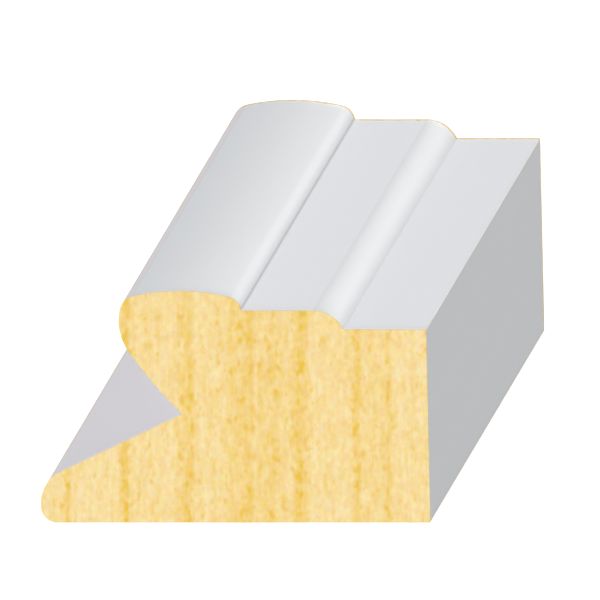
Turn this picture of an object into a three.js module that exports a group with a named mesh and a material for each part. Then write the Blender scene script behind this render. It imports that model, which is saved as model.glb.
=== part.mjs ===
// Stucco moulding: a sawn length of primed softwood trim, lying on its flat back.
// X runs across the profile from the toe (-X) to the inner edge (+X), Y along the run, +Z up
// from the back to the bead. The origin is the middle of the back. Lengths are in millimetres
// and angles in degrees.
//
// The bead overhangs a V groove on the toe side. Render is trowelled under the bead into the
// groove, so the bead hides the joint and the toe holds the trim in the wall.

import * as THREE from 'three';

// Overall size: the profile is milled from a 2 in by 1 3/16 in blank.
const width = 50.8;
const height = 30.16;
const length = 58;

// Faces of the two flats beside the bead, and the relief of the inner edge, which lets the
// trim close tight against a jamb at its back corner.
const upperFilletHeight = 27.6;
const lowerFilletHeight = 25.15;
const innerEdgeRelief = 0.55;

// Ovolo step between the two flats: a quarter round, cut short where it meets the lower one.
const ovoloX = 35.5;
const ovoloRadius = 4.36;

// Bead, as five arcs that run smoothly into each other. A turn is how far the outward normal
// leans from straight up where one arc hands over to the next.
const crownX = 18;
const crownRadius = 28.2;
const innerShoulderTurn = 13.2;
const innerShoulderRadius = 2.27;
const outerShoulderTurn = 12;
const outerShoulderRadius = 2.44;
const cheekTurn = 78.6;
const cheekRadius = 6.76;
const undersideTurn = 125.1;
const undersideRadius = 57.4;

// Toe: the slope that forms the floor of the groove, and a nose that rolls under to the back.
const toeSlope = 25.3;
const noseHeight = 2.5;
const noseRadius = 4.58;
const noseTurn = 98.5;

// Every arc is drawn with twice this many straight segments.
const arcDivisions = 8;

// A normal's turn is 0 where it points straight up, a quarter turn where it points level
// towards the toe, and a half turn where it points down.
const quarterTurn = 90;
const halfTurn = 180;

/** A circle with its centre as a Vector2. */
function circle(x, z, radius) {
  return { centre: new THREE.Vector2(x, z), radius };
}

/** The unit vector that leans `turn` degrees from straight up, towards the toe. */
function normalAt(turn) {
  const angle = THREE.MathUtils.degToRad(quarterTurn + turn);
  return new THREE.Vector2(Math.cos(angle), Math.sin(angle));
}

/** The point of a circle whose outward normal leans `turn` degrees. */
function pointAt({ centre, radius }, turn) {
  return centre.clone().addScaledVector(normalAt(turn), radius);
}

/** A circle of another radius that touches the given one, from inside, at `turn`. */
function blended(from, turn, radius) {
  const centre = pointAt(from, turn).addScaledVector(normalAt(turn), -radius);
  return { centre, radius };
}

/** How far the normal leans where a circle crosses height z, on its inner-edge side. */
function turnAtHeight({ centre, radius }, z) {
  return THREE.MathUtils.radToDeg(Math.asin((z - centre.y) / radius)) - quarterTurn;
}

/** Adds the stretch of a circle between two turns of its normal, anticlockwise. */
function addArc(outline, { centre, radius }, fromTurn, toTurn) {
  const start = THREE.MathUtils.degToRad(quarterTurn + fromTurn);
  const end = THREE.MathUtils.degToRad(quarterTurn + toTurn);
  outline.absarc(centre.x, centre.y, radius, start, end, false);
}

/** Where a line first enters a circle, from outside and along a unit direction. */
function entryPoint(start, direction, { centre, radius }) {
  const offset = start.clone().sub(centre);
  const half = direction.dot(offset);
  const distance = -half - Math.sqrt(half * half - offset.lengthSq() + radius * radius);
  return start.clone().addScaledVector(direction, distance);
}

/** The five circles of the bead, from the inner shoulder over the crown to the underside. */
function beadCircles() {
  const crown = circle(crownX, height - crownRadius, crownRadius);
  const innerShoulder = blended(crown, -innerShoulderTurn, innerShoulderRadius);
  const outerShoulder = blended(crown, outerShoulderTurn, outerShoulderRadius);
  const cheek = blended(outerShoulder, cheekTurn, cheekRadius);
  const underside = blended(cheek, undersideTurn, undersideRadius);
  return { innerShoulder, crown, outerShoulder, cheek, underside };
}

/** The two circles of the toe's nose; the lower one is sized to run out level at the back. */
function noseCircles() {
  const over = circle(noseRadius, noseHeight, noseRadius);
  const dip = normalAt(noseTurn).y;
  const under = blended(over, noseTurn, (noseHeight + noseRadius * dip) / (1 + dip));
  return { over, under };
}

/** The closed outline of the section, anticlockwise from the back's toe end. */
function sectionOutline() {
  const bead = beadCircles();
  const nose = noseCircles();
  const ovolo = circle(ovoloX, upperFilletHeight - ovoloRadius, ovoloRadius);
  const ovoloTurn = turnAtHeight(ovolo, lowerFilletHeight);
  const beadFootTurn = turnAtHeight(bead.innerShoulder, upperFilletHeight);

  const slopeStart = pointAt(nose.over, toeSlope);
  const slope = normalAt(toeSlope - quarterTurn);
  const grooveBottom = entryPoint(slopeStart, slope, bead.underside);
  const grooveNormal = grooveBottom.clone().sub(bead.underside.centre);
  const grooveTurn = THREE.MathUtils.radToDeg(grooveNormal.angle()) - quarterTurn;

  const outline = new THREE.Shape();
  outline.moveTo(nose.under.centre.x, 0);
  outline.lineTo(width, 0);
  outline.lineTo(width - innerEdgeRelief, lowerFilletHeight);
  addArc(outline, ovolo, ovoloTurn, 0);
  addArc(outline, bead.innerShoulder, beadFootTurn, -innerShoulderTurn);
  addArc(outline, bead.crown, -innerShoulderTurn, 0);
  addArc(outline, bead.crown, 0, outerShoulderTurn);
  addArc(outline, bead.outerShoulder, outerShoulderTurn, cheekTurn);
  addArc(outline, bead.cheek, cheekTurn, undersideTurn);
  addArc(outline, bead.underside, undersideTurn, grooveTurn);
  addArc(outline, nose.over, toeSlope, quarterTurn);
  addArc(outline, nose.over, quarterTurn, noseTurn);
  addArc(outline, nose.under, noseTurn, halfTurn);
  return outline;
}

const endGrain = new THREE.MeshStandardMaterial({ color: 0xf6d991, roughness: 0.8, metalness: 0 });
const primer = new THREE.MeshStandardMaterial({ color: 0xe4e5e8, roughness: 0.5, metalness: 0 });

/** The timber: the section run straight along Y, square at both saw cuts. */
function makeMoulding() {
  const geometry = new THREE.ExtrudeGeometry(sectionOutline(), {
    depth: length,
    steps: 1,
    curveSegments: arcDivisions,
    bevelEnabled: false,
  });
  const moulding = new THREE.Mesh(geometry, [endGrain, primer]);
  moulding.name = 'stucco_moulding';
  moulding.rotation.x = Math.PI / 2;
  moulding.position.set(-width / 2, length / 2, 0);
  return moulding;
}

const part = new THREE.Group();
part.add(makeMoulding());

export default part;
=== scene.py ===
"""Stucco moulding: a sawn length of primed pine trim, lying on its flat back.

X runs across the profile from the toe to the inner edge, Y along the run, and Z up out of the
back. Sizes are in metres, apart from those of the patterns in the finishes and of the saw marks,
which are in millimetres. The timber is one mesh: long faces carried along the run, arrises eased
by handling, and two saw cuts of bare wood.
"""

import logging
import math
from dataclasses import dataclass
from enum import Enum
from typing import Any

import bpy
import numpy as np
from mathutils import Matrix, Vector
from mathutils.geometry import delaunay_2d_cdt


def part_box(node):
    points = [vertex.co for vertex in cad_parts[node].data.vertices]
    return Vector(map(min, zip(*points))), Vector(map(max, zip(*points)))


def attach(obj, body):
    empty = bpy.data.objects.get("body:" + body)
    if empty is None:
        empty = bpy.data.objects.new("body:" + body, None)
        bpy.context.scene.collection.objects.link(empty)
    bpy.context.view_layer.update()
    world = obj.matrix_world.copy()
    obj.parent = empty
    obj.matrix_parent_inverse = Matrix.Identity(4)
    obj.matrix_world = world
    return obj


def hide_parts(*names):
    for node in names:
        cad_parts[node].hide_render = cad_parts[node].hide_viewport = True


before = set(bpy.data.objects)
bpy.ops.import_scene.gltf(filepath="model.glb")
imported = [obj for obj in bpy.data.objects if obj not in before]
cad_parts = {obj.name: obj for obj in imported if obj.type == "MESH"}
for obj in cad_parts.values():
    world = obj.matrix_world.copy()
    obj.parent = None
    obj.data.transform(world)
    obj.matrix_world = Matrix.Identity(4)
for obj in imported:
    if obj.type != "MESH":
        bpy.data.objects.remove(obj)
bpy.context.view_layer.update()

log = logging.getLogger("moulding")

MM = 0.001
NODE = "stucco_moulding"

QUARTER_TURN = 90.0
HALF_TURN = 180.0
FULL_TURN = 360.0
WHITE = (1.0, 1.0, 1.0, 1.0)

Points = np.ndarray
Socket = bpy.types.NodeSocket
Colour = tuple[float, float, float]
Stops = tuple[tuple[float, Colour], ...]


class Cut(Enum):
    """The two saw cuts, by the side of the run that they face."""

    NEAR = -1.0
    FAR = 1.0


class Surface(Enum):
    """The finishes of the timber, in the order of its material slots."""

    PRIMER = 0
    BARE_PINE = 1


class Value:
    """A number that varies over a surface: one socket, with arithmetic that adds Math nodes."""

    def __init__(self, sheet: "NodeSheet", socket: Socket) -> None:
        """Wraps a socket.

        Args:
            sheet: the node tree that the socket is in.
            socket: the output that carries the number.
        """
        self.sheet = sheet
        self.socket = socket

    def _math(self, operation: str, *operands: "Value | float", clamp: bool = False) -> "Value":
        """Adds a Math node.

        Args:
            operation: the node's operation.
            operands: its inputs in order, numbers or values.
            clamp: whether the result is held between 0 and 1.

        Returns:
            The node's result.
        """
        settings = {"operation": operation, "use_clamp": clamp}
        node = self.sheet.node("ShaderNodeMath", settings, dict(enumerate(operands)))
        return Value(self.sheet, node.outputs[0])

    def __add__(self, other: "Value | float") -> "Value":
        """The sum."""
        return self._math("ADD", self, other)

    def __radd__(self, other: "Value | float") -> "Value":
        """The sum, with the number first."""
        return self._math("ADD", other, self)

    def __sub__(self, other: "Value | float") -> "Value":
        """The difference."""
        return self._math("SUBTRACT", self, other)

    def __rsub__(self, other: "Value | float") -> "Value":
        """The difference, with the number first."""
        return self._math("SUBTRACT", other, self)

    def __mul__(self, other: "Value | float") -> "Value":
        """The product."""
        return self._math("MULTIPLY", self, other)

    def __rmul__(self, other: "Value | float") -> "Value":
        """The product, with the number first."""
        return self._math("MULTIPLY", other, self)

    def __truediv__(self, other: "Value | float") -> "Value":
        """The quotient."""
        return self._math("DIVIDE", self, other)

    def __rtruediv__(self, other: "Value | float") -> "Value":
        """The quotient, with the number first."""
        return self._math("DIVIDE", other, self)

    def __abs__(self) -> "Value":
        """The size, without its sign."""
        return self._math("ABSOLUTE", self)

    def clamped(self) -> "Value":
        """The value, held between 0 and 1."""
        return self._math("ADD", self, 0.0, clamp=True)

    def larger(self, other: "Value | float") -> "Value":
        """The larger of two values."""
        return self._math("MAXIMUM", self, other)

    def sine(self) -> "Value":
        """The sine of the value, in radians."""
        return self._math("SINE", self)

    def step(self, low: float, high: float) -> "Value":
        """A smooth step from 0 below low to 1 above high.

        Args:
            low: where the step starts.
            high: where it ends; below low, the step falls instead of rising.

        Returns:
            The step's height.
        """
        falls = high < low
        sockets = {
            "Value": self,
            "From Min": min(low, high),
            "From Max": max(low, high),
            "To Min": float(falls),
            "To Max": float(not falls),
        }
        settings = {"interpolation_type": "SMOOTHSTEP"}
        node = self.sheet.node("ShaderNodeMapRange", settings, sockets)
        return Value(self.sheet, node.outputs[0])


@dataclass(frozen=True)
class Place:
    """A point of the timber in millimetres: across from the toe, along the run, up."""

    across: Value
    along: Value
    up: Value


@dataclass(frozen=True)
class Noise:
    """A soft random pattern, stretched to a grain.

    Attributes:
        across: the pattern's length across the profile, in millimetres.
        along: its length along the run.
        up: its length upwards.
        layers: the number of finer layers in it.
        shift: how far it is shifted, which makes two patterns differ.
        fading: the strength of each finer layer, as a share of the one before.
    """

    across: float
    along: float
    up: float
    layers: float = 2.0
    shift: float = 0.0
    fading: float = 0.55


class NodeSheet:
    """The node tree of one material, filled by short methods."""

    # Where a Mix node has its share, its two colours and its result.
    mix_share = 0
    mix_first = 6
    mix_second = 7
    mix_result = 2

    def __init__(self, name: str) -> None:
        """Makes an empty material.

        Args:
            name: the material's name.
        """
        self.material = bpy.data.materials.new(name)
        self.material.use_nodes = True
        self.tree = self.material.node_tree
        self.tree.nodes.clear()

    def node(self, kind: str, settings: dict[str, Any], sockets: dict[Any, Any]) -> bpy.types.Node:
        """Adds one node.

        Args:
            kind: the node's type.
            settings: its properties, set first. The stops of a ramp are pairs of a position and
                a colour.
            sockets: a value or a link for each input, by name or by place.

        Returns:
            The node.
        """
        made = self.tree.nodes.new(kind)
        for key, setting in settings.items():
            if key == "stops":
                self._set_stops(made.color_ramp, setting)
            else:
                setattr(made, key, setting)
        for key, value in sockets.items():
            if isinstance(value, Value):
                value = value.socket
            if isinstance(value, Socket):
                self.tree.links.new(value, made.inputs[key])
            else:
                made.inputs[key].default_value = value
        return made

    @staticmethod
    def _set_stops(ramp: bpy.types.ColorRamp, stops: Stops) -> None:
        """Gives a ramp its stops.

        Args:
            ramp: the ramp.
            stops: pairs of a position and a colour, in order.
        """
        while len(ramp.elements) < len(stops):
            ramp.elements.new(1.0)
        for element, (position, colour) in zip(ramp.elements, stops):
            element.position = position
            element.color = opaque(colour)

    def place(self) -> Place:
        """The shaded point in the timber's own frame.

        Returns:
            The point, with across measured from the toe.
        """
        coordinates = self.node("ShaderNodeTexCoord", {}, {}).outputs["Object"]
        parts = self.node("ShaderNodeSeparateXYZ", {}, {0: coordinates}).outputs
        x, y, z = (Value(self, part) / MM for part in parts)
        return Place(x + Section().width / MM / 2, y, z)

    def attribute(self, name: str) -> Value:
        """A number that the mesh carries at each of its points."""
        settings = {"attribute_name": name}
        return Value(self, self.node("ShaderNodeAttribute", settings, {}).outputs["Fac"])

    def noise(self, place: Place, pattern: Noise) -> Value:
        """A random pattern at a place.

        Args:
            place: the shaded point.
            pattern: the pattern.

        Returns:
            The noise, from 0 to 1 with a mean of one half.
        """
        parts = {
            "X": place.across / pattern.across + pattern.shift,
            "Y": place.along / pattern.along + pattern.shift,
            "Z": place.up / pattern.up,
        }
        settings = {"noise_dimensions": "3D", "normalize": True}
        sockets = {
            "Vector": self.node("ShaderNodeCombineXYZ", {}, parts).outputs[0],
            "Scale": 1.0,
            "Detail": pattern.layers,
            "Roughness": pattern.fading,
        }
        return Value(self, self.node("ShaderNodeTexNoise", settings, sockets).outputs[0])

    def waver(self, place: Place, pattern: Noise) -> Value:
        """A random pattern at a place, from -0.5 to 0.5 with a mean of zero."""
        return self.noise(place, pattern) - 0.5

    def ramp(self, at: Value, stops: Stops) -> Socket:
        """A colour picked from a ramp.

        Args:
            at: the position, from 0 to 1.
            stops: pairs of a position and a colour, in order.

        Returns:
            The colour.
        """
        return self.node("ShaderNodeValToRGB", {"stops": stops}, {0: at}).outputs[0]

    def mix(self, share: Any, first: Any, second: Any, blend: str = "MIX") -> Socket:
        """Two colours mixed.

        Args:
            share: how much of the second.
            first: a colour or its socket.
            second: a colour or its socket.
            blend: the blend of the two.

        Returns:
            The mixed colour.
        """
        settings = {"data_type": "RGBA", "blend_type": blend}
        sockets = {
            self.mix_share: share,
            self.mix_first: opaque(first),
            self.mix_second: opaque(second),
        }
        return self.node("ShaderNodeMix", settings, sockets).outputs[self.mix_result]

    def finish(self, colour: Any, roughness: Any, height: Value, depth: float,
               constants: dict[str, Any]) -> bpy.types.Material:
        """Closes the tree with a shader and its bump.

        Args:
            colour: the base colour or its socket.
            roughness: the roughness, a number or a value.
            height: the fine relief, in units of depth.
            depth: how far one unit of height stands up.
            constants: the shader's other sockets, by name, each with one number or colour.

        Returns:
            The finished material.
        """
        relief = {"Height": height, "Distance": depth, "Strength": 1.0}
        bump = self.node("ShaderNodeBump", {}, relief)
        sockets = {"Base Color": colour, "Roughness": roughness, "Normal": bump.outputs[0]}
        shader = self.node("ShaderNodeBsdfPrincipled", {}, {**constants, **sockets})
        self.node("ShaderNodeOutputMaterial", {}, {"Surface": shader.outputs[0]})
        return self.material


def opaque(colour: Any) -> Any:
    """A colour given as three numbers, with full alpha; a socket passes as it is."""
    return (*colour, 1.0) if isinstance(colour, tuple) else colour


def linear(red: int, green: int, blue: int) -> Colour:
    """A colour of 8-bit display values in the renderer's linear light.

    The display's curve is a straight line up to its foot, and above it a power of the channel
    plus a lift, over one plus the lift.

    Args:
        red: the display's red, 0 to 255.
        green: the display's green.
        blue: the display's blue.

    Returns:
        The three linear parts.
    """
    brightest = 255
    foot, foot_slope = 0.04045, 12.92
    lift, power = 0.055, 2.4
    parts = (channel / brightest for channel in (red, green, blue))
    return tuple(c / foot_slope if c <= foot else ((c + lift) / (1 + lift)) ** power for c in parts)


@dataclass(frozen=True)
class Circle:
    """A circle in the plane of the section."""

    across: float
    up: float
    radius: float

    def at(self, turn: float | Points) -> Points:
        """The points whose outward normals lean from straight up, towards the toe.

        The point is the centre plus the radius along (-sin turn, cos turn).

        Args:
            turn: the lean in degrees, one or many.

        Returns:
            The points, one row each.
        """
        lean = np.radians(turn)
        across = self.across - self.radius * np.sin(lean)
        up = self.up + self.radius * np.cos(lean)
        return np.stack([across, up], axis=-1)

    def blended(self, turn: float, radius: float) -> "Circle":
        """A circle of another radius that touches this one, from inside, at a lean."""
        across, up = Circle(self.across, self.up, self.radius - radius).at(turn)
        return Circle(float(across), float(up), radius)

    def turn_at_height(self, up: float) -> float:
        """The lean where the circle crosses a height, on its inner-edge side."""
        return math.degrees(math.asin((up - self.up) / self.radius)) - QUARTER_TURN

    def arc(self, start: float, end: float) -> Points:
        """The points of an arc, close enough that it reads as round.

        Args:
            start: the lean at its start, in degrees.
            end: the lean at its end.

        Returns:
            The points, one row each.
        """
        finest_turn = 2.0
        longest_chord = 0.5 * MM
        length = self.radius * math.radians(end - start)
        pieces = math.ceil(max((end - start) / finest_turn, length / longest_chord))
        return self.at(np.linspace(start, end, pieces + 1))


def straight(start: Points, end: Points) -> Points:
    """Points along a line, without its two ends, that close up towards them.

    The share of the way is (1 - cos(angle)) / 2 for angles at even steps over half a turn, so
    that the corners at both ends have fine faces.

    Args:
        start: the line's start.
        end: its end.

    Returns:
        The points, one row each.
    """
    mean_chord = 0.5 * MM
    pieces = max(2, math.ceil(float(np.linalg.norm(end - start)) / mean_chord))
    angle = np.linspace(0.0, np.pi, pieces + 1)[1:-1, None]
    return start + (1 - np.cos(angle)) / 2 * (end - start)


@dataclass(frozen=True)
class Spot:
    """A place of the section that a mark gathers round, how far it reaches and how strong it is."""

    at: Points
    reach: float
    strength: float = 1.0

    def mark(self, points: Points) -> np.ndarray:
        """The mark at each point: its strength times e to the minus (distance / reach) squared."""
        return self.strength * np.exp(-(np.linalg.norm(points - self.at, axis=1) / self.reach) ** 2)


@dataclass(frozen=True)
class Outline:
    """The closed outline of the section, anticlockwise, and how the primer is marked on it, with
    painted light and shade as well as wear.

    The marks are numbers for the primer to read, by name, one for each point.
    """

    points: Points
    marks: dict[str, np.ndarray]


class PaintedFaceShade(Enum):
    """Where a stretch of the outline sits on the scale of the coat's tones. The primer's grey-white is
    its own colour, but the differences between these faces are painted light and shade, fitted with
    the lamps: lighter on the level flats and the sheltered faces, darker on the rounds and the upright
    side.
    """

    ROUNDED = 0.0
    CROWN = 0.2
    SHOULDER = 0.4
    SHELTERED = 0.6
    UPRIGHT = 0.8
    LEVEL = 1.0


@dataclass(frozen=True)
class Run:
    """A stretch of the outline, and the coat's painted light and shade by face at its start and its
    end.

    Where none is given for the end, it stays as at the start.
    """

    points: Points
    start: PaintedFaceShade
    end: PaintedFaceShade | None = None

    def film(self) -> np.ndarray:
        """The coat's tone at each point, in even steps: its place on the scale of the tones, which is
        painted light and shade by face.
        """
        end = self.start if self.end is None else self.end
        return np.linspace(self.start.value, end.value, len(self.points))


@dataclass(frozen=True)
class Bead:
    """The five circles of the bead, from its foot on the upper flat round to the groove."""

    inner_shoulder: Circle
    crown: Circle
    outer_shoulder: Circle
    cheek: Circle
    underside: Circle


@dataclass(frozen=True)
class Section:
    """The profile of the moulding: flats, an ovolo step, a bead over a V groove, and a toe.

    Across is measured from the toe, and up from the back. A turn is how many degrees the outward
    normal leans from straight up, towards the toe.

    The corners of the inner edge are eased to the arris radius. Past the sheltered turn the coat takes
    its sheltered tone, which like every tone by face holds painted light and shade, and it is rubbed
    round the rubbed turn of the bead and of the nose. The painted shade of the crease and the painted
    light beside it are centred so many degrees past the bead's foot.
    """

    width: float = 50.8 * MM
    height: float = 30.16 * MM
    upper_fillet: float = 27.6 * MM
    lower_fillet: float = 25.15 * MM
    edge_relief: float = 0.55 * MM
    ovolo_at: float = 35.5 * MM
    ovolo_radius: float = 4.36 * MM
    crown_at: float = 18.0 * MM
    crown_radius: float = 28.2 * MM
    inner_shoulder_turn: float = 13.2
    inner_shoulder_radius: float = 2.27 * MM
    outer_shoulder_turn: float = 12.0
    outer_shoulder_radius: float = 2.44 * MM
    cheek_turn: float = 78.6
    cheek_radius: float = 6.76 * MM
    underside_turn: float = 125.1
    underside_radius: float = 57.4 * MM
    toe_slope: float = 25.3
    nose_height: float = 2.5 * MM
    nose_radius: float = 4.58 * MM
    nose_turn: float = 98.5
    arris_radius: float = 0.15 * MM
    arris_steps: int = 8
    sheltered_turn: float = 34.0
    rubbed_turn: float = 51.0
    shade_past_foot: float = 6.0
    lift_past_foot: float = 21.0

    def bead(self) -> Bead:
        """The circles of the bead, each touching the one before where they hand over.

        Returns:
            The five circles.
        """
        crown = Circle(self.crown_at, self.height - self.crown_radius, self.crown_radius)
        inner = crown.blended(-self.inner_shoulder_turn, self.inner_shoulder_radius)
        outer = crown.blended(self.outer_shoulder_turn, self.outer_shoulder_radius)
        cheek = outer.blended(self.cheek_turn, self.cheek_radius)
        underside = cheek.blended(self.underside_turn, self.underside_radius)
        return Bead(inner, crown, outer, cheek, underside)

    def nose(self) -> Circle:
        """The circle of the toe's nose, which touches the end of the width."""
        return Circle(self.nose_radius, self.nose_height, self.nose_radius)

    def roll(self) -> Circle:
        """The circle below the nose, sized to touch both the nose and the back.

        With dip the cosine of the turn where it leaves the nose, its radius is (the nose's height
        plus its radius times dip) over (1 + dip).

        Returns:
            The circle.
        """
        dip = math.cos(math.radians(self.nose_turn))
        radius = (self.nose_height + self.nose_radius * dip) / (1 + dip)
        return self.nose().blended(self.nose_turn, radius)

    def ovolo(self) -> Circle:
        """The circle of the ovolo, which runs out level into the upper flat."""
        return Circle(self.ovolo_at, self.upper_fillet - self.ovolo_radius, self.ovolo_radius)

    def groove_bottom(self) -> Points:
        """Where the toe's slope meets the underside of the bead.

        With the offset from the circle's centre to the slope's foot, the distance along the slope
        is -b - sqrt(b*b - offset.offset + radius*radius), where b is the slope dotted with it.

        Returns:
            The meeting point.
        """
        foot = self.nose().at(self.toe_slope)
        underside = self.bead().underside
        lean = math.radians(self.toe_slope)
        slope = np.array([math.cos(lean), math.sin(lean)])
        offset = foot - np.array([underside.across, underside.up])
        half = float(slope @ offset)
        reach = -half - math.sqrt(half * half - float(offset @ offset) + underside.radius**2)
        return foot + slope * reach

    def edge_corners(self) -> tuple[Points, Points]:
        """The corners of the inner edge before they are eased.

        Returns:
            The one at the back, and the one at the lower flat.
        """
        face = np.array([self.width - self.edge_relief, self.lower_fillet])
        return np.array([self.width, 0.0]), face

    def eased(self, corner: Points, before: Points, after: Points) -> Points:
        """An arc that rounds a corner between two straight runs.

        It touches both runs at radius times tan(half the turn) from the corner, and its points
        are the circle's centre plus the radius along normals turned evenly between the runs'.

        Args:
            corner: the corner.
            before: a point on the run that comes in, anticlockwise.
            after: a point on the run that goes out.

        Returns:
            The arc's points.
        """
        inward, outward = corner - before, after - corner
        leans = [math.degrees(math.atan2(run[1], run[0])) - HALF_TURN for run in (inward, outward)]
        turn = (leans[1] - leans[0]) % FULL_TURN
        way = inward / np.linalg.norm(inward)
        reach = self.arris_radius * math.tan(math.radians(turn / 2))
        centre = corner - way * reach + np.array([-way[1], way[0]]) * self.arris_radius
        between = leans[0] + np.linspace(0.0, turn, self.arris_steps + 1)
        return Circle(float(centre[0]), float(centre[1]), self.arris_radius).at(between)

    def runs(self) -> list[Run]:
        """The stretches of the outline, anticlockwise from the back's toe end.

        The ovolo, the bead and the toe are arcs, and the rest is straight. The groove's bottom is
        where the toe's slope, run straight from the nose, meets the bead's underside.

        Returns:
            The runs, in order.
        """
        bead, nose, roll, ovolo = self.bead(), self.nose(), self.roll(), self.ovolo()
        inner, outer = bead.inner_shoulder, bead.outer_shoulder
        back_toe = roll.at(HALF_TURN)
        slope_foot = nose.at(self.toe_slope)
        ovolo_turn = ovolo.turn_at_height(self.lower_fillet)
        ovolo_foot = ovolo.at(ovolo_turn)
        bead_turn = inner.turn_at_height(self.upper_fillet)
        groove = self.groove_bottom()
        across, up = bead.underside.across - groove[0], groove[1] - bead.underside.up
        groove_turn = math.degrees(math.atan2(across, up))
        back_edge, face_edge = self.edge_corners()
        back_corner = self.eased(back_edge, back_toe, face_edge)
        face_corner = self.eased(face_edge, back_edge, ovolo_foot)
        crown_arc = bead.crown.arc(-self.inner_shoulder_turn, self.outer_shoulder_turn)
        shoulder_arc = outer.arc(self.outer_shoulder_turn, self.sheltered_turn)
        return [
            # The second field of each run picks the coat's tone by face, which is painted light and
            # shade.
            Run(back_toe[None], PaintedFaceShade.UPRIGHT),
            Run(straight(back_toe, back_corner[0]), PaintedFaceShade.UPRIGHT),
            Run(back_corner, PaintedFaceShade.UPRIGHT),
            Run(straight(back_corner[-1], face_corner[0]), PaintedFaceShade.UPRIGHT),
            Run(face_corner, PaintedFaceShade.UPRIGHT),
            Run(straight(face_corner[-1], ovolo_foot), PaintedFaceShade.LEVEL),
            Run(ovolo.arc(ovolo_turn, 0.0), PaintedFaceShade.ROUNDED),
            Run(straight(ovolo.at(0.0), inner.at(bead_turn)), PaintedFaceShade.LEVEL),
            Run(inner.arc(bead_turn, -self.inner_shoulder_turn), PaintedFaceShade.ROUNDED),
            Run(crown_arc[1:], PaintedFaceShade.ROUNDED, PaintedFaceShade.CROWN),
            Run(shoulder_arc[1:], PaintedFaceShade.SHOULDER, PaintedFaceShade.SHELTERED),
            Run(outer.arc(self.sheltered_turn, self.cheek_turn)[1:], PaintedFaceShade.SHELTERED),
            Run(bead.cheek.arc(self.cheek_turn, self.underside_turn)[1:], PaintedFaceShade.SHELTERED),
            Run(bead.underside.arc(self.underside_turn, groove_turn)[1:], PaintedFaceShade.SHELTERED),
            Run(straight(groove, slope_foot), PaintedFaceShade.SHELTERED),
            Run(nose.arc(self.toe_slope, self.nose_turn), PaintedFaceShade.SHELTERED),
            Run(roll.arc(self.nose_turn, HALF_TURN)[1:-1], PaintedFaceShade.UPRIGHT),
        ]

    def spots(self) -> dict[str, list[Spot]]:
        """Where the primer is marked, by the name of the mark.

        The creases and the groove are darkened with painted shade. Painted light lifts the coat at the
        bead's foot and a little way up the bead. The film is rubbed at the inner edge's corners, the
        bead's outer shoulder and the toe's nose.

        Returns:
            The spots of each mark.
        """
        inner, outer = self.bead().inner_shoulder, self.bead().outer_shoulder
        bead_turn = inner.turn_at_height(self.upper_fillet)
        ovolo_foot = self.ovolo().at(self.ovolo().turn_at_height(self.lower_fillet))
        back_edge, face_edge = self.edge_corners()
        return {
            # Painted shade: darkens the coat in the creases and the groove.
            "crease": [
                Spot(inner.at(bead_turn + self.shade_past_foot), reach=0.19 * MM),
                Spot(ovolo_foot, reach=0.15 * MM, strength=0.12),
                Spot(self.groove_bottom(), reach=0.3 * MM, strength=0.5),
            ],
            # Painted light: brightens the coat at the bead's foot and a little way up the bead.
            "pool": [
                Spot(inner.at(bead_turn), reach=0.5 * MM, strength=0.7),
                Spot(inner.at(bead_turn + self.lift_past_foot), reach=0.45 * MM, strength=0.9),
            ],
            "rubbed": [
                Spot(face_edge, reach=0.2 * MM, strength=0.3),
                Spot(back_edge, reach=0.3 * MM),
                Spot(outer.at(self.rubbed_turn), reach=0.45 * MM),
                Spot(self.nose().at(self.rubbed_turn), reach=0.55 * MM),
            ],
        }

    def outline(self) -> Outline:
        """The closed outline and its marks; a mark is that of its strongest spot at each point.

        Returns:
            The outline, with across measured from the middle of the width.
        """
        runs = self.runs()
        points = np.concatenate([run.points for run in runs])
        marks = {}
        for name, spots in self.spots().items():
            marks[name] = np.max([spot.mark(points) for spot in spots], axis=0)
        # The film mark picks the coat's tone by face, which is painted light and shade.
        marks["film"] = np.concatenate([run.film() for run in runs])
        return Outline(points - np.array([self.width / 2, 0.0]), marks)


def outward_normals(outline: Points) -> Points:
    """Mitred outward normals of a closed anticlockwise outline.

    At each point it is the sum of its two edges' unit normals, over one plus their dot product, so
    that an offset by it keeps every edge parallel to where it was.

    Args:
        outline: the points, one row each.

    Returns:
        The normals, one row each.
    """
    edges = np.roll(outline, -1, axis=0) - outline
    edges /= np.linalg.norm(edges, axis=1, keepdims=True)
    after = np.stack([edges[:, 1], -edges[:, 0]], axis=1)
    before = np.roll(after, 1, axis=0)
    return (before + after) / (1.0 + np.sum(before * after, axis=1, keepdims=True))


def inside_by(points: Points, outline: Points, margin: float) -> np.ndarray:
    """Which points lie inside an outline and clear of it.

    A point is inside where a ray from it crosses the outline an odd number of times, and clear
    where its distance to every edge, clipped to the edge's ends, is over the margin.

    Args:
        points: the points to test.
        outline: the closed outline.
        margin: the least distance to the outline.

    Returns:
        A mask, one entry per point.
    """
    start, end = outline, np.roll(outline, -1, axis=0)
    run = end - start
    x, z = points[:, None, 0], points[:, None, 1]
    spans = (start[:, 1] > z) != (end[:, 1] > z)
    rise = np.where(run[:, 1] == 0.0, 1.0, run[:, 1])
    crossing = start[:, 0] + (z - start[:, 1]) * run[:, 0] / rise
    odd = (spans & (x < crossing)).sum(axis=1) % 2 == 1
    offset = points[:, None] - start
    along = np.clip((offset * run).sum(axis=2) / (run * run).sum(axis=1), 0.0, 1.0)
    distance = np.linalg.norm(offset - along[..., None] * run, axis=2).min(axis=1)
    return odd & (distance > margin)


def bands(rings: int, count: int) -> np.ndarray:
    """The four-sided faces between closed rings of points, which are numbered ring by ring.

    A face joins a point and the next one of its ring to the same two of the following ring.

    Args:
        rings: the number of rings.
        count: the number of points in each.

    Returns:
        The point numbers of each face, one row each, band by band.
    """
    first = np.arange(count)
    second = (first + 1) % count
    starts = np.arange(rings - 1)[:, None] * count
    corners = [starts + first, starts + second, starts + count + second, starts + count + first]
    return np.stack(corners, axis=2).reshape(-1, 4)


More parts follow.
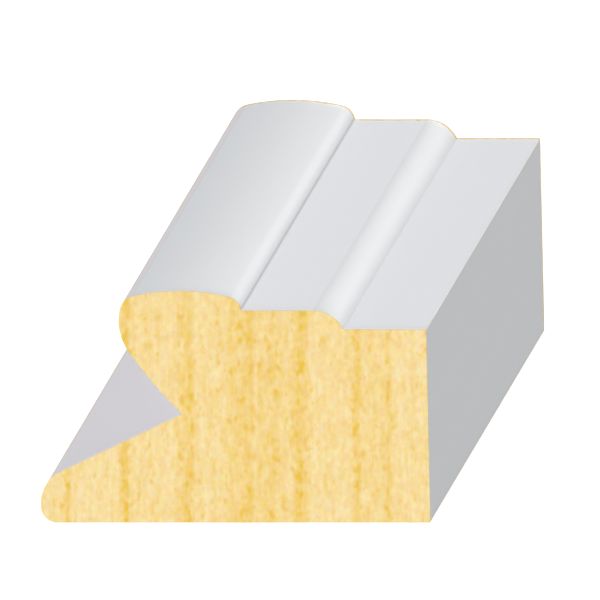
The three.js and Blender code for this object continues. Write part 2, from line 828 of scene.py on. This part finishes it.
def make_object(name: str, vertices: Points, faces: list[list[int]], surfaces: np.ndarray,
                marks: dict[str, np.ndarray]) -> bpy.types.Object:
    """A mesh object at the origin, with smooth faces that stay sharp at creases.

    Args:
        name: the object's name.
        vertices: the points, one row each.
        faces: the vertex numbers of each face.
        surfaces: the material slot of each face.
        marks: numbers for the materials to read, by name, one for each point.

    Returns:
        The object, linked to the scene.
    """
    sharp_crease = math.radians(38.0)
    mesh = bpy.data.meshes.new(name)
    mesh.from_pydata(vertices.tolist(), [], faces)
    mesh.polygons.foreach_set("material_index", surfaces.astype(np.int32))
    mesh.polygons.foreach_set("use_smooth", np.ones(len(faces), dtype=bool))
    mesh.set_sharp_from_angle(angle=sharp_crease)
    for mark, values in marks.items():
        attribute = mesh.attributes.new(mark, "FLOAT", "POINT")
        attribute.data.foreach_set("value", values.astype(np.float32))
    mesh.update()
    made = bpy.data.objects.new(name, mesh)
    bpy.context.scene.collection.objects.link(made)
    return made


@dataclass(frozen=True)
class Ring:
    """One year's growth: pale early wood that darkens slowly up to the ring's edge.

    Attributes:
        edge: how far the ring's edge is from the toe, in millimetres.
        rise: the width over which the wood darkens up to the edge.
        late: the depth of the colour at the edge, from 0 to 1.
        early: its depth in the early wood.
        fall: how far past the edge the next ring's early wood starts.
    """

    edge: float
    rise: float
    late: float
    early: float
    fall: float = 0.6


@dataclass(frozen=True)
class PineGrain:
    """The figure of the pine: rings seen on edge, broken up by fibres and short golden flecks.

    Attributes:
        rings: the rings, from the toe to the inner edge.
        sway: how the rings bend slowly, over sway_reach millimetres.
        ragged: how their edges fray, over ragged_reach millimetres.
        patches: stretches where the rings show more or less, by patch_contrast.
        streaks: short lines that run up a cut, as deep as streak_depth.
        fibres: fine fibres, as deep as fibre_depth.
        flecks: golden flecks, as deep as fleck_depth. One shows where the noise, raised in dark
            wood by fleck_gathering, passes through fleck_threshold.
        hues: patches that are rosy at one end of the noise and green at the other.
        shades: patches that are dull at one end of the noise and bright at the other.
        tones: the wood's colour by its depth.
    """

    rings: tuple[Ring, ...] = (
        Ring(3.6, 0.7, 0.70, 0.15),
        Ring(11.25, 1.3, 0.62, 0.12),
        Ring(19.5, 2.3, 0.48, 0.18),
        Ring(25.1, 1.4, 0.38, 0.20),
        Ring(27.3, 1.2, 0.58, 0.32),
        Ring(30.3, 1.2, 0.40, 0.27, 1.0),
        Ring(33.9, 1.3, 0.55, 0.25, 1.2),
        Ring(41.5, 1.3, 0.51, 0.17),
        Ring(45.35, 0.9, 0.45, 0.24),
        Ring(52.0, 0.5, 0.40, 0.16),
    )
    sway: Noise = Noise(5.0, 60.0, 14.0, layers=1.0)
    sway_reach: float = 0.6
    ragged: Noise = Noise(0.9, 12.0, 1.1, layers=1.0, shift=8.2)
    ragged_reach: float = 0.9
    patches: Noise = Noise(1.6, 20.0, 2.6, layers=1.0, shift=19.4)
    patch_contrast: float = 1.3
    streaks: Noise = Noise(0.6, 20.0, 4.5, layers=1.0, shift=3.7)
    streak_depth: float = 0.45
    fibres: Noise = Noise(0.70, 8.0, 0.95, layers=1.0, shift=11.3)
    fibre_depth: float = 0.60
    flecks: Noise = Noise(0.62, 8.0, 1.05, layers=0.0, shift=27.1)
    fleck_depth: float = 0.38
    fleck_gathering: float = 0.45
    fleck_threshold: tuple[float, float] = (0.75, 1.0)
    hues: Noise = Noise(0.8, 9.0, 1.05, layers=1.0, shift=41.0)
    shades: Noise = Noise(0.7, 9.0, 0.9, layers=1.0, shift=53.0)
    rosy_to_green: Stops = ((0.25, (1.0, 0.95, 1.0)), (0.75, (0.965, 1.01, 0.98)))
    dull_to_bright: Stops = ((0.25, (0.97, 0.95, 0.99)), (0.75, (1.03, 1.05, 1.01)))
    tones: Stops = (
        (0.0, linear(249, 227, 172)),
        (0.14, linear(248, 221, 155)),
        (0.36, linear(245, 212, 132)),
        (0.55, linear(243, 205, 111)),
        (0.80, linear(239, 199, 80)),
        (1.0, linear(236, 194, 54)),
    )

    def ring_stops(self, width: float) -> Stops:
        """The stops of a ramp across the width: each ring's early wood, its edge, and the drop.

        Args:
            width: the distance that the ramp spans, in millimetres.

        Returns:
            Pairs of a position from 0 to 1 and a grey of the wood's depth.
        """
        stops = []
        start = 0.0
        for ring in self.rings:
            levels = ((start, ring.early), (ring.edge - ring.rise, ring.early), (ring.edge, ring.late))
            stops += [(at / width, (level,) * 3) for at, level in levels]
            start = ring.edge + ring.fall
        return tuple(stops)

    def ring_depth(self, sheet: NodeSheet, place: Place) -> Value:
        """How deep the colour of the rings is, from 0 in the palest wood to 1.

        Args:
            sheet: the material's node tree.
            place: the shaded point.

        Returns:
            The depth.
        """
        sway = sheet.waver(place, self.sway) * self.sway_reach
        ragged = sheet.waver(place, self.ragged) * self.ragged_reach
        width = self.rings[-1].edge
        colour = sheet.ramp((place.across + sway + ragged) / width, self.ring_stops(width))
        return Value(sheet, colour)

    def depth(self, sheet: NodeSheet, place: Place, rings: Value) -> Value:
        """How deep the wood's colour is, from 0 in pale early wood to 1 in a golden fleck.

        Args:
            sheet: the material's node tree.
            place: the shaded point.
            rings: the depth of the rings there.

        Returns:
            The depth.
        """
        patches = sheet.waver(place, self.patches)
        streaks = sheet.waver(place, self.streaks)
        fibres = sheet.waver(place, self.fibres)
        gathered = sheet.noise(place, self.flecks) + rings * self.fleck_gathering
        flecks = gathered.step(*self.fleck_threshold)
        fine = streaks * self.streak_depth + fibres * self.fibre_depth + flecks * self.fleck_depth
        return (rings * (patches * self.patch_contrast + 1.0) + fine).clamped()

    def colour(self, sheet: NodeSheet, place: Place, rings: Value) -> Socket:
        """The wood's colour.

        Args:
            sheet: the material's node tree.
            place: the shaded point.
            rings: the depth of the rings there.

        Returns:
            The colour's socket.
        """
        base = sheet.ramp(self.depth(sheet, place, rings), self.tones)
        hue = sheet.ramp(sheet.noise(place, self.hues), self.rosy_to_green)
        shade = sheet.ramp(sheet.noise(place, self.shades), self.dull_to_bright)
        return sheet.mix(1.0, sheet.mix(1.0, base, hue, "MULTIPLY"), shade, "MULTIPLY")


@dataclass(frozen=True)
class SawnPine:
    """Bare pine at a saw cut: the figure of the grain on a matt surface of cut fibres.

    Attributes:
        grain: the figure of the wood.
        fibres: the cut ends of the fibres.
        roughness: the roughness of pale wood between fibres.
        late_polish: how much smoother the dense late wood is.
        fibre_polish: how much smoother a fibre is.
        late_height: how far late wood stands up, beside a fibre.
        fibre_height: how far a fibre stands up.
    """

    grain: PineGrain = PineGrain()
    fibres: Noise = Noise(0.3, 4.0, 0.6, layers=3.0, shift=5.1)
    roughness: float = 0.82
    late_polish: float = 0.16
    fibre_polish: float = 0.06
    late_height: float = 0.5
    fibre_height: float = 0.03 * MM

    def material(self) -> bpy.types.Material:
        """The material of both cuts.

        Returns:
            The finished material.
        """
        sheet = NodeSheet("bare_pine")
        place = sheet.place()
        rings = self.grain.ring_depth(sheet, place)
        fibres = sheet.noise(place, self.fibres)
        roughness = self.roughness - rings * self.late_polish - fibres * self.fibre_polish
        colour = self.grain.colour(sheet, place, rings)
        height = fibres + rings * self.late_height
        return sheet.finish(colour, roughness, height, self.fibre_height, {})


@dataclass(frozen=True)
class PrimerCoat:
    """Factory primer: a satin grey-white flood coat with the grain just showing through.

    The mesh tells it its tone by face, which is painted light and shade, where painted light lifts it
    beside the bead's foot, where painted shade darkens the creases, and where an edge is rubbed.

    Attributes:
        half_run: half the length of the run, in metres.
        grain: the wood under the coat.
        torn_near: how far the coat is torn back from the near cut, in millimetres.
        torn_far: how far it is torn back from the far cut.
        changeover: how far from the middle of the run the one tear hands over to the other.
        splinters: the unevenness of the torn edge, as large as splinter_reach times the tear.
        torn_softness: half the width of the torn edge, in millimetres.
        wear: where a rubbed edge is worn most, which it is as the noise passes worn_from_to.
        rubbed_least: the share of wood that shows at a rubbed edge where it is worn least.
        rubbed_more: how much more of it shows where it is worn most.
        tones: the coat's colour by face, whose differences are painted light and shade.
        lift_gain: how much brighter the painted light makes the coat beside the bead's foot.
        crease_shade: how much darker the painted shade makes the coat in the creases.
        streaks: faint lines along the run, which change its brightness by streak_gain.
        peel: the orange peel of the sprayed film.
        cutter_pitch: the distance between the marks of the planer's knives, in millimetres.
        roughness: the roughness of the plain film, to which the next four add.
        depth: the height of one unit of relief. The last four are in that unit.
    """

    half_run: float
    grain: PineGrain = PineGrain()
    torn_near: float = 0.05
    torn_far: float = 0.45
    changeover: float = 1.0
    splinters: Noise = Noise(0.8, 3.0, 0.8, layers=2.0, shift=61.0)
    splinter_reach: float = 2.0
    torn_softness: float = 0.06
    wear: Noise = Noise(0.8, 14.0, 0.8, layers=3.0, shift=73.0)
    worn_from_to: tuple[float, float] = (0.35, 0.70)
    rubbed_least: float = 0.25
    rubbed_more: float = 0.50
    # The tones by face are painted light and shade, fitted with the lamps, over the coat's own
    # grey-white.
    tones: Stops = (
        (PaintedFaceShade.ROUNDED.value, (0.847, 0.856, 0.870)),
        (PaintedFaceShade.CROWN.value, (0.855, 0.880, 0.911)),
        (PaintedFaceShade.SHOULDER.value, (0.837, 0.816, 0.869)),
        (PaintedFaceShade.SHELTERED.value, (0.902, 0.884, 0.924)),
        (PaintedFaceShade.UPRIGHT.value, (0.819, 0.840, 0.863)),
        (PaintedFaceShade.LEVEL.value, (0.920, 0.932, 0.967)),
    )
    lift_gain: float = 0.05
    crease_shade: float = 0.26
    streaks: Noise = Noise(0.7, 60.0, 0.7, layers=2.0, shift=2.0)
    streak_gain: float = 0.02
    peel: Noise = Noise(0.9, 0.9, 0.9, layers=1.0, shift=17.0)
    cutter_pitch: float = 1.6
    roughness: float = 0.5
    streak_roughness: float = 0.1
    peel_roughness: float = 0.08
    crease_roughness: float = 0.2
    wood_roughness: float = 0.25
    depth: float = 0.006 * MM
    grain_height: float = 0.6
    streak_height: float = 0.8
    peel_height: float = 0.3
    cutter_height: float = 0.12

    def bare(self, sheet: NodeSheet, place: Place) -> Value:
        """Where the wood shows: torn back from the saw cuts, and through the film at rubbed edges.

        Args:
            sheet: the material's node tree.
            place: the shaded point.

        Returns:
            The share of bare wood, from 0 to 1.
        """
        from_cut = self.half_run / MM - abs(place.along)
        splinters = sheet.waver(place, self.splinters)
        far_half = place.along.step(-self.changeover, self.changeover)
        reach = far_half * (self.torn_far - self.torn_near) + self.torn_near
        past_tear = from_cut + splinters * reach * self.splinter_reach - reach
        torn = past_tear.step(self.torn_softness, -self.torn_softness)
        worn = sheet.noise(place, self.wear).step(*self.worn_from_to)
        rubbed = sheet.attribute("rubbed") * (worn * self.rubbed_more + self.rubbed_least)
        return torn.larger(rubbed)

    def tone(self, sheet: NodeSheet, streaks: Value) -> Socket:
        """The colour of the coat, with painted light and shade: its tone by face, a lift beside the
        bead's foot and a darkening in the creases.

        Args:
            sheet: the material's node tree.
            streaks: faint lines along the run, about zero.

        Returns:
            The colour's socket.
        """
        # Tone by face: painted light and shade, not a change in the coat.
        by_face = sheet.ramp(sheet.attribute("film"), self.tones)
        # Painted light: brightens the coat beside the bead's foot.
        lifted = sheet.attribute("pool") * self.lift_gain + 1.0
        # Painted shade: darkens the coat in the creases and the groove.
        unshaded = 1.0 - sheet.attribute("crease") * self.crease_shade
        level = lifted * unshaded * (streaks * self.streak_gain + 1.0)
        parts = {"X": level, "Y": level, "Z": level}
        grey = sheet.node("ShaderNodeCombineXYZ", {}, parts).outputs[0]
        return sheet.mix(1.0, by_face, grey, "MULTIPLY")

    def material(self) -> bpy.types.Material:
        """The material of the long faces.

        Returns:
            The finished material.
        """
        sheet = NodeSheet("primer")
        place = sheet.place()
        rings = self.grain.ring_depth(sheet, place)
        bare = self.bare(sheet, place)
        streaks = sheet.waver(place, self.streaks)
        peel = sheet.waver(place, self.peel)
        cutter = (place.along * (2 * math.pi / self.cutter_pitch)).sine()
        wood = self.grain.colour(sheet, place, rings)
        colour = sheet.mix(bare, self.tone(sheet, streaks), wood)
        film = self.roughness + streaks * self.streak_roughness + peel * self.peel_roughness
        creased = sheet.attribute("crease") * self.crease_roughness
        roughness = film + creased + bare * self.wood_roughness
        showing = rings * self.grain_height + streaks * self.streak_height
        height = showing + peel * self.peel_height + cutter * self.cutter_height - bare
        return sheet.finish(colour, roughness, height, self.depth, {})


@dataclass(frozen=True)
class SawMarks:
    """The relief of a saw cut, in millimetres: arcs that the blade left, and raised fibres.

    Each pitch is the turn of a sine, in radians for each millimetre.

    Attributes:
        blade_centre: the point that the arcs go round, across and up.
        arc_pitch: the pitch of the arcs.
        beat: the share of the arcs' height that comes and goes, at beat_pitch.
        fibre_across: the pitch of the fibres across the profile.
        fibre_bend: the pitch at which they bend, going up.
        fibre_up: the pitch at which they end, going up.
        fibre_slant: how much their ends are staggered across the profile.
        height: the height of the arcs, and of the fibres.
    """

    blade_centre: tuple[float, float] = (-60.0, -110.0)
    arc_pitch: float = 5.1
    beat: float = 0.4
    beat_pitch: float = 0.83
    fibre_across: float = 7.3
    fibre_bend: float = 0.9
    fibre_up: float = 2.1
    fibre_slant: float = 1.3
    height: float = 0.006

    def relief(self, points: Points) -> np.ndarray:
        """How far a cut stands proud at points of the section.

        The arcs are a sine of the distance from the blade's centre, whose height comes and goes
        by a slower one. The fibres are the product of two crossed sines that stretch upwards.

        Args:
            points: the points, one row each, in metres.

        Returns:
            A height for each point, in metres.
        """
        reach = np.linalg.norm(points - np.array(self.blade_centre) * MM, axis=1) / MM
        swell = (1 - self.beat) + self.beat * np.sin(reach * self.beat_pitch)
        arcs = np.sin(reach * self.arc_pitch) * swell
        across, up = points[:, 0] / MM, points[:, 1] / MM
        strands = np.sin(across * self.fibre_across + np.sin(up * self.fibre_bend))
        fibres = strands * np.sin(up * self.fibre_up + across * self.fibre_slant)
        return (self.height * arcs + self.height * fibres) * MM


@dataclass
class Timber:
    """The piece of timber, from the toe to the inner edge and from saw cut to saw cut.

    Attributes:
        section: the profile.
        saw_marks: the relief of the cuts.
        steps_along: the number of bands of faces along the run, between the arrises.
        arris: how far the arris round a cut is worn on average.
        arris_steps: the number of bands of faces across it.
        arris_waver: how much its wear varies, as a share.
        arris_waves: how often each wave of the wear comes, going once round the outline.
        near_phase: where the waves start at the near cut, in radians.
        far_phase: where they start at the far cut.
        cut_spacing: the distance between the points inside a cut.
        cut_margin: their least distance to its edge, in spacings.
    """

    section: Section = Section()
    saw_marks: SawMarks = SawMarks()
    steps_along: int = 40
    arris: float = 0.09 * MM
    arris_steps: int = 4
    arris_waver: float = 0.45
    arris_waves: tuple[int, ...] = (11, 29, 71)
    near_phase: float = 0.4
    far_phase: float = 1.7
    cut_spacing: float = 0.36 * MM
    cut_margin: float = 0.6

    def __post_init__(self) -> None:
        """Takes the length of the run from the frame."""
        low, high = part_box(NODE)
        self.length = high.y - low.y

    def arris_size(self, count: int, cut: Cut) -> np.ndarray:
        """How far the arris at a cut is worn, all round the outline.

        It is the average wear times one plus the mean of three sines of the place in the outline,
        which don't repeat together, so that it wavers without a pattern.

        Args:
            count: the number of points round the outline.
            cut: the saw cut.

        Returns:
            One size for each point.
        """
        way = np.linspace(0.0, 2 * np.pi, count, endpoint=False)
        phase = self.far_phase if cut is Cut.FAR else self.near_phase
        share = len(self.arris_waves)
        waver = sum(np.sin(way * waves + phase * waves) / share for waves in self.arris_waves)
        return self.arris * (1.0 + self.arris_waver * waver)

    def rings(self, outline: Points) -> Points:
        """The long faces and their arrises, as rings of points along the run.

        The middle rings are the outline itself. Towards a cut each ring is set in by
        size * (1 - cos(angle)) and moved out by size * sin(angle), a quarter turn in all.

        Args:
            outline: the section's outline.

        Returns:
            An array of rings by points by three coordinates, from the near cut to the far.
        """
        normals = outward_normals(outline)
        half = self.length / 2
        angles = np.linspace(0.0, np.pi / 2, self.arris_steps + 1)
        rings = []
        for cut in Cut:
            size = self.arris_size(len(outline), cut)
            worn = []
            for angle in angles:
                across = outline - normals * (size * (1 - np.cos(angle)))[:, None]
                along = cut.value * (half - size * (1 - np.sin(angle)))
                worn.append(np.stack([across[:, 0], along, across[:, 1]], axis=1))
            rings.append(worn)
        near, far = rings
        share = np.linspace(0.0, 1.0, self.steps_along + 1)[1:-1, None, None]
        middle = near[0] + share * (far[0] - near[0])
        return np.concatenate([near[::-1], middle, far])

    def cut_face(self, ring: Points, cut: Cut) -> tuple[Points, np.ndarray]:
        """One saw cut: its ring, filled with a triangle mesh fine enough to hold relief.

        The points inside are the corners of even triangles, row by row, that are clear of the
        ring. A triangulation of the whole hull joins them to it, and its triangles outside the
        ring, which come from no face, are left out.

        Args:
            ring: the innermost ring of the arris.
            cut: the saw cut.

        Returns:
            The points inside the ring, and triangles that number the ring first.
        """
        whole_hull = 0
        same_point = 1e-6
        edge = ring[:, [0, 2]]
        low, high = edge.min(axis=0), edge.max(axis=0)
        row = self.cut_spacing * math.sqrt(3) / 2
        steps_across = np.arange(low[0], high[0], self.cut_spacing)
        across, up = np.meshgrid(steps_across, np.arange(low[1], high[1], row))
        across[1::2] += self.cut_spacing / 2
        grid = np.stack([across.ravel(), up.ravel()], axis=1)
        grid = grid[inside_by(grid, edge, self.cut_spacing * self.cut_margin)]
        flat = [Vector(point) for point in np.concatenate([edge, grid]) / MM]
        loop = list(range(len(edge)))
        filled = delaunay_2d_cdt(flat, [], [loop], whole_hull, same_point, True)
        _, _, triangles, _, _, sources = filled
        triangles = np.array([triangle for triangle, source in zip(triangles, sources) if source])
        if cut is Cut.FAR:
            triangles = triangles[:, ::-1]
        along = np.full(len(grid), cut.value * self.length / 2)
        return np.stack([grid[:, 0], along, grid[:, 1]], axis=1), triangles

    def build(self) -> bpy.types.Object:
        """The timber as one closed mesh.

        Returns:
            The object, riding on the frame in place of the plain solid.
        """
        outline = self.section.outline()
        rings = self.rings(outline.points)
        count = len(outline.points)
        faces = bands(len(rings), count).tolist()
        band = np.repeat(np.arange(len(rings) - 1), count)
        worn = (band < self.arris_steps) | (band >= len(rings) - 1 - self.arris_steps)
        surfaces = [np.where(worn, Surface.BARE_PINE.value, Surface.PRIMER.value)]
        vertices = [rings.reshape(-1, 3)]
        on_rings = total = len(vertices[0])
        for cut, start in ((Cut.NEAR, 0), (Cut.FAR, on_rings - count)):
            inner, triangles = self.cut_face(vertices[0][start:start + count], cut)
            numbers = np.concatenate([start + np.arange(count), total + np.arange(len(inner))])
            faces += numbers[triangles].tolist()
            vertices.append(inner)
            surfaces.append(np.full(len(triangles), Surface.BARE_PINE.value))
            total += len(inner)
        points = self.with_saw_marks(np.concatenate(vertices))
        off_rings = np.zeros(total - on_rings)
        marks = {}
        for name, values in outline.marks.items():
            marks[name] = np.concatenate([np.tile(values, len(rings)), off_rings])
        made = make_object("timber", points, faces, np.concatenate(surfaces), marks)
        made.data.materials.append(PrimerCoat(self.length / 2).material())
        made.data.materials.append(SawnPine().material())
        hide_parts(NODE)
        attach(made, "root")
        return made

    def with_saw_marks(self, points: Points) -> Points:
        """The timber's points, with those on the cuts moved out or in by the relief.

        Args:
            points: all the points, with those on the cuts half a length from the middle.

        Returns:
            The same points, in the same array.
        """
        tolerance = 1e-7
        on_cut = np.abs(points[:, 1]) > self.length / 2 - tolerance
        relief = self.saw_marks.relief(points[on_cut][:, [0, 2]])
        points[on_cut, 1] += np.sign(points[on_cut, 1]) * relief
        return points


@dataclass(frozen=True)
class Lamp:
    """One soft studio light.

    Attributes:
        name: the lamp's name.
        azimuth: where it shines from round the object, in degrees: 0 is the near side and 90 the
            inner-edge side.
        elevation: how high it is above the floor, in degrees.
        strength: its power.
        softness: the angle that it fills, in degrees.
    """

    name: str
    azimuth: float
    elevation: float
    strength: float
    softness: float = 20.0

    def build(self) -> None:
        """Hangs the lamp.

        It shines from (sin azimuth cos elevation, -cos azimuth cos elevation, sin elevation).
        """
        data = bpy.data.lights.new(self.name, "SUN")
        data.energy = self.strength
        data.angle = math.radians(self.softness)
        lamp = bpy.data.objects.new(self.name, data)
        bpy.context.scene.collection.objects.link(lamp)
        azimuth, elevation = math.radians(self.azimuth), math.radians(self.elevation)
        towards = Vector((math.sin(azimuth) * math.cos(elevation),
                          -math.cos(azimuth) * math.cos(elevation), math.sin(elevation)))
        lamp.rotation_mode = "QUATERNION"
        lamp.rotation_quaternion = towards.to_track_quat("Z", "Y")


@dataclass(frozen=True)
class WhitePaper:
    """The backdrop's matt white paper, lit a little from within so that it stays even."""

    shade: float = 0.8
    glow: float = 0.65
    roughness: float = 0.9
    tooth: Noise = Noise(30.0, 30.0, 30.0)
    tooth_height: float = 0.0001 * MM

    def material(self) -> bpy.types.Material:
        """The material of the backdrop.

        Returns:
            The finished material.
        """
        sheet = NodeSheet("white_paper")
        tooth = sheet.noise(sheet.place(), self.tooth)
        glow = {"Emission Color": WHITE, "Emission Strength": self.glow}
        return sheet.finish(opaque((self.shade,) * 3), self.roughness, tooth, self.tooth_height, glow)


@dataclass(frozen=True)
class Backdrop:
    """The pale floor that curves up into a wall all round, with a skirt outside the wall."""

    floor_rings: tuple[float, ...] = (0.2, 0.5)
    floor_radius: float = 0.9
    cove_radius: float = 0.25
    cove_steps: int = 16
    wall_height: float = 0.5
    skirt_gap: float = 0.02
    skirt_drop: float = 0.4
    steps_round: int = 96

    def build(self) -> bpy.types.Object:
        """The floor and backdrop: a disc, a quarter-round cove and a wall, turned about Z.

        Outside the wall a skirt hangs down past the floor, so that a view from almost level with
        the floor has the same pale ground below the floor's edge.

        Returns:
            The backdrop's object.
        """
        turn = np.linspace(0.0, np.pi / 2, self.cove_steps + 1)
        wall_radius = self.floor_radius + self.cove_radius
        skirt_radius = wall_radius + self.skirt_gap
        cove = self.floor_radius + self.cove_radius * np.sin(turn)
        radii = np.concatenate([self.floor_rings, cove, [wall_radius, skirt_radius, skirt_radius]])
        on_floor = np.zeros(len(self.floor_rings))
        cove_heights = self.cove_radius * (1 - np.cos(turn))
        wall_heights = [self.wall_height, self.wall_height, -self.skirt_drop]
        heights = np.concatenate([on_floor, cove_heights, wall_heights])
        count = self.steps_round
        way = np.linspace(0.0, 2 * np.pi, count, endpoint=False)
        ring = np.stack([np.cos(way), np.sin(way)], axis=1)
        raised = np.broadcast_to(heights[:, None, None], (len(radii), count, 1))
        rows = np.concatenate([radii[:, None, None] * ring, raised], axis=2)
        vertices = np.concatenate([np.zeros((1, 3)), rows.reshape(-1, 3)])
        first = np.arange(count)
        middle = np.stack([np.zeros(count, int), 1 + first, 1 + (first + 1) % count], axis=1)
        outwards = 1 + bands(len(rows), count)[:, [0, 3, 2, 1]]
        faces = middle.tolist() + outwards.tolist()
        made = make_object("sweep", vertices, faces, np.zeros(len(faces)), {})
        made.data.materials.append(WhitePaper().material())
        for ray in ("diffuse", "glossy", "transmission", "shadow"):
            setattr(made, "visible_" + ray, False)
        return made


@dataclass(frozen=True)
class Studio:
    """The backdrop, the soft lights, and the even light of the room."""

    backdrop: Backdrop = Backdrop()
    lamps: tuple[Lamp, ...] = (
        Lamp("front_light", 0.0, 15.0, 1.870),
        Lamp("back_light", 180.0, 8.0, 1.156),
        Lamp("corner_light", 150.0, 22.0, 0.900),
        Lamp("floor_bounce", 270.0, -12.0, 0.806),
    )
    ambient: float = 0.440

    def build(self) -> bpy.types.Object:
        """Sets out the backdrop and the lights.

        Returns:
            The backdrop's object.
        """
        backdrop = self.backdrop.build()
        for lamp in self.lamps:
            lamp.build()
        world = bpy.data.worlds.new("room")
        world.use_nodes = True
        background = world.node_tree.nodes["Background"]
        background.inputs["Color"].default_value = WHITE
        background.inputs["Strength"].default_value = self.ambient
        bpy.context.scene.world = world
        bpy.context.scene.view_settings.view_transform = "Standard"
        return backdrop


@dataclass(frozen=True)
class ObliqueCamera:
    """A drawing-board view: the near cut square on, and the run drawn off at an angle.

    Millimetres across and up are true in the picture, and the run recedes in parallel, as in a
    cabinet drawing. A camera that looks along the slant, with its picture plane kept parallel to
    the cut, gives that; its slanted frame is carried by the rig that it is mounted on.

    Attributes:
        pixels: the width and height of the picture.
        pixels_per_mm: its scale at the near cut.
        toe_corner: where the near cut's corner below the toe is drawn, right and down.
        run_drawn: how far the run is drawn right and up.
        distance: how far in front of the near cut the camera stands.
        nearest: the least distance that it sees.
        farthest: the greatest distance that it sees.
    """

    pixels: float = 600.0
    pixels_per_mm: float = 7.677
    toe_corner: tuple[float, float] = (40.5, 522.75)
    run_drawn: tuple[float, float] = (114.1, 191.9)
    distance: float = 0.3
    nearest: float = 0.001
    farthest: float = 5.0

    def build(self, length: float, width: float) -> bpy.types.Object:
        """Mounts the camera.

        A point one run further away is drawn run_drawn further right and up, so the sight line
        leans by run_drawn over the scale and the length.

        Args:
            length: the length of the run.
            width: the width of the section.

        Returns:
            The camera.
        """
        scale = self.pixels_per_mm / MM
        data = bpy.data.cameras.new("view")
        data.type = "ORTHO"
        data.ortho_scale = self.pixels / scale
        data.clip_start = self.nearest
        data.clip_end = self.farthest
        lean_x, lean_z = (drawn / scale / length for drawn in self.run_drawn)
        middle_x = -width / 2 + (self.pixels / 2 - self.toe_corner[0]) / scale
        middle_z = (self.toe_corner[1] - self.pixels / 2) / scale
        back = Vector((lean_x, -1.0, lean_z))
        at = Vector((middle_x, -length / 2, middle_z)) + back * self.distance
        rig = bpy.data.objects.new("camera_rig", None)
        camera = bpy.data.objects.new("view", data)
        for made in (rig, camera):
            bpy.context.scene.collection.objects.link(made)
        back.normalize()
        camera.parent = rig
        camera.matrix_parent_inverse = Matrix((
            (1.0, 0.0, back.x, at.x),
            (0.0, 0.0, back.y, at.y),
            (0.0, 1.0, back.z, at.z),
            (0.0, 0.0, 0.0, 1.0),
        ))
        bpy.context.scene.camera = camera
        return camera


def report(made: bpy.types.Object) -> None:
    """Logs the size of a finished mesh."""
    mesh = made.data
    log.info("%s: %d vertices, %d faces", made.name, len(mesh.vertices), len(mesh.polygons))


def main() -> None:
    """Builds the view, the studio and the timber in order, and reports each mesh."""
    logging.basicConfig(level=logging.INFO, format="%(name)s: %(message)s")
    timber = Timber()
    ObliqueCamera().build(timber.length, timber.section.width)
    report(Studio().build())
    report(timber.build())


if __name__ == "__main__":
    main()
